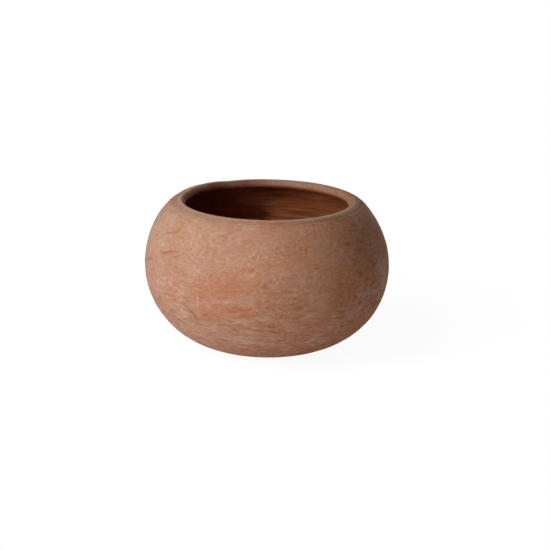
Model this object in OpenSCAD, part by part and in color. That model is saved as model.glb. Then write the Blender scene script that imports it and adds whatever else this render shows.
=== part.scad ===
// Squat terracotta planter bowl with an incurved shoulder and a rolled lip.
// The fired pot is one body. It is drawn as the four clay sections that a potter forms and
// joins while the clay is damp: a floor slab, a lower wall set on it, an upper wall locked to
// the lower one at the belly, and a coil that is rolled into the lip.
// The foot rests on z = 0 and the bowl is turned about the Z axis.

/* [Bowl] */
// Width across the belly, the widest part
belly_d = 500; // [460:2:530]
// Height of the belly above the ground
belly_z = 166; // [155:1:180]
// Height from the ground to the top of the lip
bowl_h = 300; // [286:1:330]
// Thickness of the wall
wall_t = 15; // [11:0.5:18]

/* [Floor] */
// Width of the flat foot
foot_d = 226; // [220:2:260]
// Width of the flat floor inside
floor_d = 230; // [200:2:250]
// Thickness of the floor slab
slab_t = 18; // [14:0.5:24]
// Width of the ring that the pot stands on
foot_ring_w = 35; // [20:1:50]
// Depth of the hollow inside that ring
foot_hollow_h = 3; // [1:0.5:5]
// Width of the slope between the ring and the hollow
foot_slope_w = 10; // [2:1:20]
// Diameter of the drain hole
drain_d = 28; // [16:1:50]

/* [Shoulder] */
// How much longer the shoulder's radius is than that of one arc up to the lip, which fills it out
shoulder_fullness = 19; // [8:1:30]
// Radius of the neck, the tighter curve that turns the shoulder in to the lip
neck_r = 40; // [34:1:46]

/* [Mouth] */
// Clear width inside the lip
mouth_d = 334; // [310:2:350]
// Thickness of the rolled lip
lip_t = 19; // [17:0.5:24]
// How far the lip stands proud of the neck, which leaves a turned line under it
lip_proud = 0.4; // [0.2:0.1:1]
// Width of clay below the lip that belongs to its coil
lip_skirt_w = 3; // [2:0.5:8]

/* [Joints] */
// How deep the wall's foot is let into the floor slab
seat_h = 4; // [2:0.5:8]
// Width of the ridge that locks the upper wall to the lower one
ridge_w = 7; // [4:0.5:9]
// Height of that ridge
ridge_h = 5; // [2:0.5:8]
// How much each side of the ridge leans in
ridge_lean = 1.5; // [0.5:0.1:1.9]

/* [Hidden] */
$fn = 180;
outer_clay = "#C1947D";
inner_clay = "#A8684A";

belly_r = belly_d / 2;
foot_r = foot_d / 2;
floor_r = floor_d / 2;
hollow_r = foot_r - foot_ring_w;
lip_r = lip_t / 2;
past = 1; // how far a cut runs past what it cuts
reach = belly_d; // longer than any line across the section

// A section is drawn with x as the radius and y as the height.
// Radius of an arc that starts upright and has come in by inset once it has risen by rise
function arc_radius(rise, inset) = (rise ^ 2 + inset ^ 2) / (2 * inset);

function angle_of(v) = atan2(v.y, v.x);

// Angle between sides a and b of a triangle, opposite side c
function corner_angle(a, b, c) = acos((a ^ 2 + b ^ 2 - c ^ 2) / (2 * a * b));

// The lower wall's two faces leave the belly upright. The outer one comes down to the edge of
// the foot, the inner one to the edge of the floor.
outer_low_r = arc_radius(belly_z, belly_r - foot_r);
outer_low_c = [belly_r - outer_low_r, belly_z];
inner_low_r = arc_radius(belly_z - slab_t, belly_r - wall_t - floor_r);
inner_low_c = [belly_r - wall_t - inner_low_r, belly_z];

// The shoulder's outer face leaves the belly upright. One arc that passes inside the lip's outer
// face by lip_proud would have the radius whole_arc_r, and the shoulder's own is longer.
lip_c = [mouth_d / 2 + lip_r, bowl_h - lip_r];
flush_r = lip_r - lip_proud;
shoulder_in = belly_r - lip_c.x;
shoulder_up = lip_c.y - belly_z;
whole_arc_r = (shoulder_in ^ 2 + shoulder_up ^ 2 - flush_r ^ 2) / (2 * (shoulder_in - flush_r));
shoulder_r = whole_arc_r + shoulder_fullness;
shoulder_c = [belly_r - shoulder_r, belly_z];

// The neck carries on from the shoulder with no corner, and it is the neck that passes inside the
// lip's outer face. The three centres make a triangle, which gives the angle up the shoulder at
// which the neck starts.
shoulder_to_neck = shoulder_r - neck_r;
neck_to_lip = neck_r - flush_r;
shoulder_to_lip = norm(lip_c - shoulder_c);
neck_angle = angle_of(lip_c - shoulder_c)
    - corner_angle(shoulder_to_neck, shoulder_to_lip, neck_to_lip);
neck_c = shoulder_c + shoulder_to_neck * [cos(neck_angle), sin(neck_angle)];

// Angles up the neck from its centre: the middle of the lip, and the coil's lower end
lip_angle = angle_of(lip_c - neck_c);
roll_angle = asin(lip_r / neck_to_lip);
coil_angle = lip_angle - roll_angle - lip_skirt_w / neck_r * 180 / PI;

// Everything between two heights, outward from a radius
module band(low, high, from = 0) {
    translate([from, low])
        square([reach, high - low]);
}

// The half of a circle that lies outward of its centre, or of the axis if that is further out
module outer_half(centre, radius) {
    intersection() {
        translate(centre)
            circle(r = radius);
        band(centre.y - reach, centre.y + reach, max(centre.x, 0));
    }
}

// A stretch of wall between two angles about the centre of its outer face
module wall_slice(centre, outer_r, from, to) {
    intersection() {
        difference() {
            outer_half(centre, outer_r);
            outer_half(centre, outer_r - wall_t);
        }
        translate(centre)
            polygon([[0, 0], reach * [cos(from), sin(from)], reach * [cos(to), sin(to)]]);
    }
}

// The ridge runs round the middle of the lower wall's top edge.
module belly_ridge() {
    root = ridge_w / 2;
    crest = root - ridge_lean;
    translate([belly_r - wall_t / 2, belly_z])
        polygon([[-root, 0], [root, 0], [crest, ridge_h], [-crest, ridge_h]]);
}

// A disc whose edge carries on the curve of the wall. Its middle stands up inside the wall's foot.
module floor_slab() {
    color(inner_clay)
        difference() {
            union() {
                rotate_extrude()
                    intersection() {
                        outer_half(outer_low_c, outer_low_r);
                        band(0, slab_t - seat_h);
                    }
                cylinder(r = foot_r, h = slab_t - seat_h);
                cylinder(r = floor_r, h = slab_t);
            }
            translate([0, 0, -past])
                cylinder(r = hollow_r, h = past);
            cylinder(r1 = hollow_r, r2 = hollow_r - foot_slope_w, h = foot_hollow_h);
            translate([0, 0, -past])
                cylinder(d = drain_d, h = slab_t + 2 * past);
        }
}

module lower_wall() {
    color(outer_clay)
        rotate_extrude() {
            intersection() {
                outer_half(outer_low_c, outer_low_r);
                band(slab_t - seat_h, slab_t, floor_r);
            }
            difference() {
                intersection() {
                    outer_half(outer_low_c, outer_low_r);
                    band(slab_t, belly_z, floor_r);
                }
                translate(inner_low_c)
                    circle(r = inner_low_r);
            }
            belly_ridge();
        }
}

module upper_wall() {
    color(outer_clay)
        rotate_extrude()
            difference() {
                union() {
                    wall_slice(shoulder_c, shoulder_r, 0, neck_angle);
                    wall_slice(neck_c, neck_r, neck_angle, coil_angle);
                }
                belly_ridge();
            }
}

module rim_coil() {
    color(outer_clay)
        rotate_extrude() {
            wall_slice(neck_c, neck_r, coil_angle, lip_angle);
            translate(lip_c)
                circle(r = lip_r);
        }
}

floor_slab();
lower_wall();
upper_wall();
rim_coil();
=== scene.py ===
"""A squat, hand-thrown terracotta planter bowl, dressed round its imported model.

The bowl is one turned outline. The outline is cut into the four clay sections of the model, and one
tree of nodes throws them all, so that turning marks run on from each section to the next.
Lengths are in metres in the model's own frame: the foot stands on z = 0 and the axis is Z.
"""

import logging
import math
from dataclasses import dataclass
from enum import Enum
from functools import cached_property
from typing import Any, Mapping, Optional, Sequence, Union

import bpy
import numpy as np
from mathutils import Matrix, Vector


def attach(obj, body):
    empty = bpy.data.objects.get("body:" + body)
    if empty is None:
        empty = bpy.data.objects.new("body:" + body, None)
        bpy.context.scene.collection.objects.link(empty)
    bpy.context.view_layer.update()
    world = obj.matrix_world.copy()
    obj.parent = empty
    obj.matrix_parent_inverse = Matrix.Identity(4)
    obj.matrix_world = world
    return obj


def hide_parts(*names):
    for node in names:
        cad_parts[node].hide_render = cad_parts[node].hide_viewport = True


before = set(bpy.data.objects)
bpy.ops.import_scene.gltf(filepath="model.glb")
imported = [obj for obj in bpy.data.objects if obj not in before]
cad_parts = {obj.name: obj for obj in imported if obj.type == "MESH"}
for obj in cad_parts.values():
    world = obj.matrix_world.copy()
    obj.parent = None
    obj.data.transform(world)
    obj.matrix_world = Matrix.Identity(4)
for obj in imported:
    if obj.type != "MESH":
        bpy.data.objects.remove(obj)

LOG = logging.getLogger("planter")
BODY = "root"
TURN = 2 * math.pi
MIDDLE = (0.0, 0.0, 0.15)

Operand = Union["Term", float, int]
Point = tuple[float, float]
Span = tuple[float, float]
Colour = tuple[float, float, float, float]


def tint(code: str) -> Colour:
    """Turns a colour written for the screen into the linear one that shaders use.

    Args:
        code: Six hexadecimal digits after a hash sign.

    Returns:
        Red, green, blue and an alpha of 1.
    """
    shares = [int(code[i : i + 2], 16) / 255 for i in (1, 3, 5)]
    linear = [s / 12.92 if s <= 0.04045 else ((s + 0.055) / 1.055) ** 2.4 for s in shares]
    return (linear[0], linear[1], linear[2], 1.0)


# ---------------------------------------------------------------------------------------- nodes


class Term:
    """A node's output that arithmetic can be written with.

    Each operator adds a Math node to the tree that the output is in.
    """

    def __init__(self, maker: "NodeMaker", socket: bpy.types.NodeSocket) -> None:
        """Wraps one output.

        Args:
            maker: The maker of the tree that the output is in.
            socket: The output itself.
        """
        self.maker = maker
        self.socket = socket

    def __add__(self, other: Operand) -> "Term":
        """Gives self + other."""
        return self.maker.math("ADD", self, other)

    def __radd__(self, other: Operand) -> "Term":
        """Gives other + self."""
        return self.maker.math("ADD", other, self)

    def __sub__(self, other: Operand) -> "Term":
        """Gives self - other."""
        return self.maker.math("SUBTRACT", self, other)

    def __rsub__(self, other: Operand) -> "Term":
        """Gives other - self."""
        return self.maker.math("SUBTRACT", other, self)

    def __mul__(self, other: Operand) -> "Term":
        """Gives self * other."""
        return self.maker.math("MULTIPLY", self, other)

    def __rmul__(self, other: Operand) -> "Term":
        """Gives other * self."""
        return self.maker.math("MULTIPLY", other, self)

    def __truediv__(self, other: Operand) -> "Term":
        """Gives self / other."""
        return self.maker.math("DIVIDE", self, other)

    def __mod__(self, other: Operand) -> "Term":
        """Gives self % other."""
        return self.maker.math("MODULO", self, other)


class Made:
    """A node that has just been made, whose outputs are picked by name."""

    def __init__(self, maker: "NodeMaker", node: bpy.types.Node) -> None:
        """Wraps one node.

        Args:
            maker: The maker of the tree that the node is in.
            node: The node itself.
        """
        self.maker = maker
        self.node = node

    def __getitem__(self, name: str) -> Term:
        """Gives the output of that identifier or name."""
        return Term(self.maker, find_socket(self.node.outputs, name))


def find_socket(sockets: Sequence[bpy.types.NodeSocket], name: str) -> bpy.types.NodeSocket:
    """Finds a socket by its identifier, or else by its name.

    Args:
        sockets: A node's inputs or outputs.
        name: The identifier or the name. Sockets that are switched off are passed over.

    Returns:
        The first socket that matches.
    """
    shown = [s for s in sockets if s.enabled]
    for socket in shown:
        if socket.identifier == name:
            return socket
    return next(s for s in shown if s.name == name)


class NodeMaker:
    """Adds nodes to one tree, of shader or of geometry nodes."""

    def __init__(self, tree: bpy.types.NodeTree) -> None:
        """Starts on a tree.

        Args:
            tree: The tree that the nodes go into.
        """
        self.tree = tree

    def node(
        self,
        kind: str,
        settings: Optional[Mapping[str, Any]] = None,
        values: Optional[Mapping[Union[str, int], Any]] = None,
    ) -> Made:
        """Makes any node.

        Args:
            kind: The node's type.
            settings: Its properties, which are set first.
            values: A value or a Term for each socket, by identifier, name or number.

        Returns:
            The new node.
        """
        node = self.tree.nodes.new(kind)
        for name, setting in (settings or {}).items():
            setattr(node, name, setting)
        for name, value in (values or {}).items():
            socket = node.inputs[name] if isinstance(name, int) else find_socket(node.inputs, name)
            if isinstance(value, Term):
                self.tree.links.new(value.socket, socket)
            else:
                socket.default_value = value
        return Made(self, node)

    def math(self, operation: str, *operands: Operand) -> Term:
        """Makes a Math node.

        Args:
            operation: What it works out.
            operands: Its one to three inputs.

        Returns:
            The result.
        """
        names = ("Value", "Value_001", "Value_002")
        settings = {"operation": operation}
        return self.node("ShaderNodeMath", settings, dict(zip(names, operands)))["Value"]

    def vector(self, operation: str, *operands: Any) -> Term:
        """Makes a Vector Math node.

        Args:
            operation: What it works out.
            operands: Its one to three inputs, each a vector or a Term.

        Returns:
            The resulting vector.
        """
        settings = {"operation": operation}
        return self.node("ShaderNodeVectorMath", settings, dict(enumerate(operands)))["Vector"]

    def larger(self, first: Operand, second: Operand) -> Term:
        """Gives the larger of two numbers."""
        return self.math("MAXIMUM", first, second)

    def at_least(self, least: float, share: Term) -> Term:
        """Squeezes a share from 0 to 1 into the range from least to 1."""
        return least + (1.0 - least) * share

    def kept(self, name: str) -> Term:
        """Reads a value that the throwing tree kept on the mesh, in a material."""
        return self.node("ShaderNodeAttribute", {"attribute_name": name})["Fac"]

    def point(self, x: Operand, y: Operand, z: Operand) -> Term:
        """Puts three numbers together as a vector."""
        return self.node("ShaderNodeCombineXYZ", None, {"X": x, "Y": y, "Z": z})["Vector"]

    def parts(self, vector: Term) -> tuple[Term, Term, Term]:
        """Takes a vector apart.

        Args:
            vector: The vector.

        Returns:
            Its x, y and z.
        """
        made = self.node("ShaderNodeSeparateXYZ", None, {"Vector": vector})
        return made["X"], made["Y"], made["Z"]

    def noise(self, at: Term, size: float, detail: float = 2.0, rough: float = 0.5) -> Term:
        """Makes cloudy noise.

        Args:
            at: Where it is read, in metres.
            size: How far apart its largest blotches are, in metres.
            detail: How many finer layers are added.
            rough: How strong the finer layers are.

        Returns:
            Noise that spreads on both sides of 0, mostly within 0.35.
        """
        values = {"Vector": at, "Scale": 1 / size, "Detail": detail, "Roughness": rough}
        return self.node("ShaderNodeTexNoise", None, values)["Fac"] - 0.5

    def rise(self, value: Term, low: float, high: float) -> Term:
        """Goes smoothly from 0 at low to 1 at high, or the other way round where high is less.

        Args:
            value: What is measured.
            low: Where the result is 0.
            high: Where the result is 1.

        Returns:
            The share, from 0 to 1.
        """
        start, end = sorted((low, high))
        ends = {"To Min": 0.0 if low < high else 1.0, "To Max": 1.0 if low < high else 0.0}
        values = {"Value": value, "From Min": start, "From Max": end, **ends}
        return self.node("ShaderNodeMapRange", {"interpolation_type": "SMOOTHSTEP"}, values)["Result"]

    def bell(self, value: Term, middle: float, width: float) -> Term:
        """Makes a bell curve that is 1 in its middle.

        Args:
            value: What is measured.
            middle: Where the curve is highest.
            width: How far from there it has fallen to about a third.

        Returns:
            The curve's height.
        """
        away = (value - middle) / width
        return self.math("EXPONENT", -1.0 * away * away)

    def mix(self, share: Operand, first: Any, second: Any) -> Term:
        """Mixes two colours.

        Args:
            share: How much of the second there is.
            first: A colour or a Term.
            second: A colour or a Term.

        Returns:
            The mixed colour.
        """
        settings = {"data_type": "RGBA", "clamp_factor": True}
        values = {"Factor_Float": share, "A_Color": first, "B_Color": second}
        return self.node("ShaderNodeMix", settings, values)["Result_Color"]


@dataclass(frozen=True)
class Layer:
    """Noise whose blotches run round the pot.

    Attributes:
        stretch: How many times longer than high the blotches are.
        size: How far apart the largest blotches are, in metres.
        shift: Moves the noise, so that two layers of a material differ.
        detail: How many finer layers are added.
        rough: How strong the finer layers are.
        edges: The noise that gives 0 and the noise that gives 1, where it is cut off.
        swing: What the noise is multiplied by.
        level: What it is then added to.
    """

    stretch: float
    size: float
    shift: float = 0.0
    detail: float = 2.0
    rough: float = 0.5
    edges: Optional[Span] = None
    swing: float = 1.0
    level: float = 0.0

    def drawn(self, m: NodeMaker, at: Term) -> Term:
        """Draws the layer.

        Args:
            m: The maker of the tree.
            at: Where it is read, already stretched round the pot.

        Returns:
            The noise, or a share where it is cut off, with its swing and its level.
        """
        noise = m.noise(at, self.size, self.detail, self.rough)
        drawn = m.rise(noise, *self.edges) if self.edges else noise
        return self.level + self.swing * drawn


def emptied(owner: Union[bpy.types.Material, bpy.types.World]) -> NodeMaker:
    """Switches on the nodes of a material or a world, with none in them yet.

    Args:
        owner: The material or the world.

    Returns:
        The maker of its tree.
    """
    owner.use_nodes = True
    owner.node_tree.nodes.clear()
    return NodeMaker(owner.node_tree)


def placed(name: str, data: bpy.types.ID) -> bpy.types.Object:
    """Puts a mesh, a light or a camera into the scene.

    Args:
        name: The new object's name.
        data: What it shows.

    Returns:
        The object.
    """
    made = bpy.data.objects.new(name, data)
    bpy.context.scene.collection.objects.link(made)
    return made


# -------------------------------------------------------------------------------------- outline


class Skin(Enum):
    """The side of the wall that a stretch of the outline shows."""

    OUTSIDE = 1.0
    INSIDE = 0.0


@dataclass(frozen=True)
class Arc:
    """Part of a circle in a section, where x is the radius and y is the height."""

    centre: Point
    radius: float

    def point(self, angle: float) -> Point:
        """Gives the point at an angle in radians."""
        x, y = self.centre
        return (x + self.radius * math.cos(angle), y + self.radius * math.sin(angle))

    def angle(self, point: Point) -> float:
        """Gives the angle at which a point lies from the centre, in radians."""
        return math.atan2(point[1] - self.centre[1], point[0] - self.centre[0])

    def points(self, start: float, end: float, step: float) -> np.ndarray:
        """Lists points along the arc.

        Args:
            start: The first angle.
            end: The last angle.
            step: About how far apart they are.

        Returns:
            One row for each point.
        """
        count = max(2, math.ceil(abs(end - start) * self.radius / step) + 1)
        angles = np.linspace(start, end, count)
        return np.array([self.point(a) for a in angles])


def straight(start: Point, end: Point, step: float) -> np.ndarray:
    """Lists points along a line.

    Args:
        start: The first point.
        end: The last point.
        step: About how far apart they are.

    Returns:
        One row for each point.
    """
    count = max(2, math.ceil(math.dist(start, end) / step) + 1)
    return np.linspace(start, end, count)


def arc_radius(rise: float, inset: float) -> float:
    """Gives the radius of an arc that starts upright and comes in by inset as it rises by rise."""
    return (rise**2 + inset**2) / (2 * inset)


@dataclass(frozen=True)
class BowlSizes:
    """The bowl's driving sizes, which are those of the model, and the arcs that follow from them."""

    belly_r: float = 0.250
    belly_z: float = 0.166
    height: float = 0.300
    wall: float = 0.015
    foot_r: float = 0.113
    floor_r: float = 0.115
    slab: float = 0.018
    ring_w: float = 0.035
    hollow_h: float = 0.003
    slope_w: float = 0.010
    drain_r: float = 0.014
    shoulder_fullness: float = 0.019
    neck_r: float = 0.040
    mouth_r: float = 0.167
    lip_r: float = 0.0095
    lip_proud: float = 0.0004
    skirt: float = 0.003
    seat: float = 0.004
    ridge_w: float = 0.007
    ridge_h: float = 0.005
    ridge_lean: float = 0.0015

    @property
    def low_outside(self) -> Arc:
        """The outer face from the foot to the belly."""
        radius = arc_radius(self.belly_z, self.belly_r - self.foot_r)
        return Arc((self.belly_r - radius, self.belly_z), radius)

    @property
    def low_inside(self) -> Arc:
        """The inner face from the floor to the belly."""
        radius = arc_radius(self.belly_z - self.slab, self.belly_r - self.wall - self.floor_r)
        return Arc((self.belly_r - self.wall - radius, self.belly_z), radius)

    @property
    def lip(self) -> Arc:
        """The rolled lip."""
        return Arc((self.mouth_r + self.lip_r, self.height - self.lip_r), self.lip_r)

    @property
    def shoulder(self) -> Arc:
        """The outer face from the belly to the neck.

        Returns:
            Its arc, a little fuller than one that would reach the lip by itself.
        """
        inward = self.belly_r - self.lip.centre[0]
        upward = self.lip.centre[1] - self.belly_z
        flush = self.lip_r - self.lip_proud
        whole_arc = (inward**2 + upward**2 - flush**2) / (2 * (inward - flush))
        radius = whole_arc + self.shoulder_fullness
        return Arc((self.belly_r - radius, self.belly_z), radius)

    @property
    def neck_angle(self) -> float:
        """How far up the shoulder the neck starts, which carries on from it with no corner.

        Returns:
            The angle on the shoulder's arc, in radians.
        """
        to_neck = self.shoulder.radius - self.neck_r
        to_lip = math.dist(self.shoulder.centre, self.lip.centre)
        across = self.neck_r - self.lip_r + self.lip_proud
        cosine = (to_neck**2 + to_lip**2 - across**2) / (2 * to_neck * to_lip)
        return self.shoulder.angle(self.lip.centre) - math.acos(cosine)

    @property
    def neck(self) -> Arc:
        """The outer face from the shoulder to the lip."""
        start = Arc(self.shoulder.centre, self.shoulder.radius - self.neck_r)
        return Arc(start.point(self.neck_angle), self.neck_r)

    @property
    def coil_angle(self) -> float:
        """How far up the neck its own clay ends and the lip's coil starts."""
        roll = math.asin(self.lip_r / (self.neck_r - self.lip_r + self.lip_proud))
        return self.neck.angle(self.lip.centre) - roll - self.skirt / self.neck_r

    def inner(self, face: Arc) -> Arc:
        """Gives the inner face of the wall behind an outer one."""
        return Arc(face.centre, face.radius - self.wall)

    def lip_meets(self, face: Arc) -> Point:
        """Finds where the roll of the lip meets a face of the neck.

        Args:
            face: The neck's outer or inner face.

        Returns:
            The crossing that is nearer to the belly.
        """
        reach = math.dist(face.centre, self.lip.centre)
        cosine = (reach**2 + face.radius**2 - self.lip_r**2) / (2 * reach * face.radius)
        return face.point(face.angle(self.lip.centre) - math.acos(cosine))


class Border(Enum):
    """Where the outline passes from one clay section to the next, in order along it."""

    SEAT = "seat"
    BELLY_OUTSIDE = "belly outside"
    COIL_OUTSIDE = "coil outside"
    COIL_INSIDE = "coil inside"
    BELLY_INSIDE = "belly inside"
    FLOOR_EDGE = "floor edge"


@dataclass
class SectionRows:
    """Points round the cut face of one clay section, with what the throwing tree needs of each."""

    places: np.ndarray
    normals: np.ndarray
    along: np.ndarray
    skin: np.ndarray
    give: np.ndarray

    def joined(self, other: "SectionRows") -> "SectionRows":
        """Adds the points of another stretch after these."""
        names = ("places", "normals", "along", "skin", "give")
        return SectionRows(*(np.concatenate((getattr(self, n), getattr(other, n))) for n in names))


@dataclass(frozen=True)
class Outline:
    """The whole pot's outline, from the drain hole out over the foot, the lip and back inside."""

    sizes: BowlSizes
    step: float = 0.0001
    softness: float = 0.0011
    border_row: float = 0.0003
    skin_change: float = 0.0016
    bare_from: float = math.radians(197)
    midway: float = 0.5
    least_facing: float = 0.2

    def stretches(self) -> list[tuple[Optional[Border], Skin, np.ndarray]]:
        """Lists the outline's stretches in order.

        Returns:
            For each stretch, the border that it starts at if it does, its side, and its points.
        """
        s = self.sizes
        hollow_r = s.foot_r - s.ring_w
        low, low_in, lip = s.low_outside, s.low_inside, s.lip
        shoulder, neck = s.shoulder, s.neck
        shoulder_in, neck_in = s.inner(shoulder), s.inner(neck)
        seat_angle = math.asin((s.slab - s.seat - s.belly_z) / low.radius)
        outer_crease, inner_crease = s.lip_meets(neck), s.lip_meets(neck_in)
        roll_start, roll_end = lip.angle(outer_crease), lip.angle(inner_crease) + TURN
        out, within = Skin.OUTSIDE, Skin.INSIDE
        floor_angle = low_in.angle((s.floor_r, s.slab))
        return [
            (None, out, straight((s.drain_r, s.hollow_h), (hollow_r - s.slope_w, s.hollow_h), self.step)),
            (None, out, straight((hollow_r - s.slope_w, s.hollow_h), (hollow_r, 0), self.step)),
            (None, out, straight((hollow_r, 0), (s.foot_r, 0), self.step)),
            (None, out, low.points(low.angle((s.foot_r, 0)), seat_angle, self.step)),
            (Border.SEAT, out, low.points(seat_angle, 0, self.step)),
            (Border.BELLY_OUTSIDE, out, shoulder.points(0, s.neck_angle, self.step)),
            (None, out, neck.points(s.neck_angle, s.coil_angle, self.step)),
            (Border.COIL_OUTSIDE, out, neck.points(s.coil_angle, neck.angle(outer_crease), self.step)),
            (None, out, lip.points(roll_start, self.bare_from, self.step)),
            (None, within, lip.points(self.bare_from, roll_end, self.step)),
            (None, within, neck_in.points(neck_in.angle(inner_crease), s.coil_angle, self.step)),
            (Border.COIL_INSIDE, within, neck_in.points(s.coil_angle, s.neck_angle, self.step)),
            (None, within, shoulder_in.points(s.neck_angle, 0, self.step)),
            (Border.BELLY_INSIDE, within, low_in.points(0, floor_angle, self.step)),
            (Border.FLOOR_EDGE, within, straight((s.floor_r, s.slab), (s.drain_r, s.slab), self.step)),
            (None, within, straight((s.drain_r, s.slab), (s.drain_r, s.hollow_h), self.step)),
        ]

    @cached_property
    def traced(self) -> tuple[SectionRows, dict[Border, float]]:
        """The outline traced closely, with its corners softened as a sponge does in damp clay.

        Returns:
            The traced points, and how far along the outline each border is.
        """
        borders: dict[Border, float] = {}
        places, skins, length = [], [], 0.0
        for border, side, points in self.stretches():
            if border:
                borders[border] = length
            length += float(np.linalg.norm(np.diff(points, axis=0), axis=1).sum())
            places.append(points[:-1])
            skins.append(np.full(len(points) - 1, side.value))
        loop = np.concatenate(places)
        gaps = np.linalg.norm(np.diff(np.vstack((loop, loop[:1])), axis=0), axis=1)
        along = np.concatenate(([0.0], np.cumsum(gaps)[:-1]))
        soft = self.blurred(loop, self.softness)
        heading = np.roll(soft, -1, axis=0) - np.roll(soft, 1, axis=0)
        heading /= np.linalg.norm(heading, axis=1)[:, None]
        normals = np.column_stack((heading[:, 1], -heading[:, 0]))
        skin = self.blurred(np.concatenate(skins)[:, None], self.skin_change)[:, 0]
        return SectionRows(soft, normals, along, skin, np.ones(len(soft))), borders

    def face_at(self, height: float, side: Skin) -> tuple[Point, Point]:
        """Finds the wall's face at a height.

        Args:
            height: The height above the ground.
            side: The side of the wall.

        Returns:
            The point there, and the way that the face looks.
        """
        traced, _ = self.traced
        shown = np.abs(traced.skin - side.value) < self.midway
        outward = traced.normals[:, 0] * (1.0 if side is Skin.OUTSIDE else -1.0)
        wall = shown & (outward > self.least_facing)
        row = int(np.argmin(np.where(wall, np.abs(traced.places[:, 1] - height), np.inf)))
        return tuple(traced.places[row]), tuple(traced.normals[row])

    def bare_edge(self) -> float:
        """Gives how far along the outline the outside's bloom ends, on the roll of the lip."""
        traced, _ = self.traced
        return float(traced.along[int(np.argmax(traced.skin < self.midway))])

    def blurred(self, rows: np.ndarray, reach: float) -> np.ndarray:
        """Averages each row of a closed loop with its neighbours.

        Args:
            rows: One row for each traced point.
            reach: The spread of the average, in metres along the outline.

        Returns:
            The averaged rows.
        """
        half = math.ceil(3 * reach / self.step)
        weights = np.exp(-0.5 * (np.arange(-half, half + 1) * self.step / reach) ** 2)
        weights /= weights.sum()
        wrapped = np.vstack((rows[-half:], rows, rows[:half]))
        return np.column_stack([np.convolve(column, weights, "valid") for column in wrapped.T])

    def stretch(self, start: Optional[Border], end: Optional[Border], spacing: float) -> SectionRows:
        """Picks points along part of the outline, with one more just inside each of its ends.

        Args:
            start: The border that it starts at, or None for the outline's own start.
            end: The border that it ends at, or None for the outline's own end.
            spacing: About how far apart the points are.

        Returns:
            The picked points.
        """
        traced, borders = self.traced
        whole = float(traced.along[-1])
        first = borders[start] if start else 0.0
        last = borders[end] if end else whole
        count = max(2, round((last - first) / spacing))
        inner = np.linspace(first, last, count + 1)[1:-1]
        at = np.concatenate(([first, first + self.border_row], inner, [last - self.border_row, last]))
        period = whole + self.step

        def read(rows: np.ndarray) -> np.ndarray:
            """Reads rows of the traced outline at the picked points."""
            columns = rows.reshape(len(rows), -1).T
            return np.column_stack([np.interp(at, traced.along, c, period=period) for c in columns])

        normals = read(traced.normals)
        normals /= np.linalg.norm(normals, axis=1)[:, None]
        skin = read(traced.skin)[:, 0]
        return SectionRows(read(traced.places), normals, at % period, skin, np.ones(len(at)))


def joint_face(points: Sequence[Point], like: SectionRows) -> SectionRows:
    """Makes the points of a face that is hidden in a joint.

    Args:
        points: Where they are.
        like: The stretch just before them, whose last point they take after.

    Returns:
        The points, which no turning mark moves.
    """
    count = len(points)
    places = np.array(points, float).reshape(count, 2)
    return SectionRows(
        places,
        np.repeat(like.normals[-1:], count, axis=0),
        np.repeat(like.along[-1:], count),
        np.repeat(like.skin[-1:], count),
        np.zeros(count),
    )


# --------------------------------------------------------------------------------- throwing tree


@dataclass(frozen=True)
class TurnedLine:
    """A fine line turned round the neck.

    Attributes:
        radius: Where it is.
        width: How far from there it has faded to about a third.
        strength: Its depth, where 1 is a full line.
    """

    radius: float
    width: float
    strength: float


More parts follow.
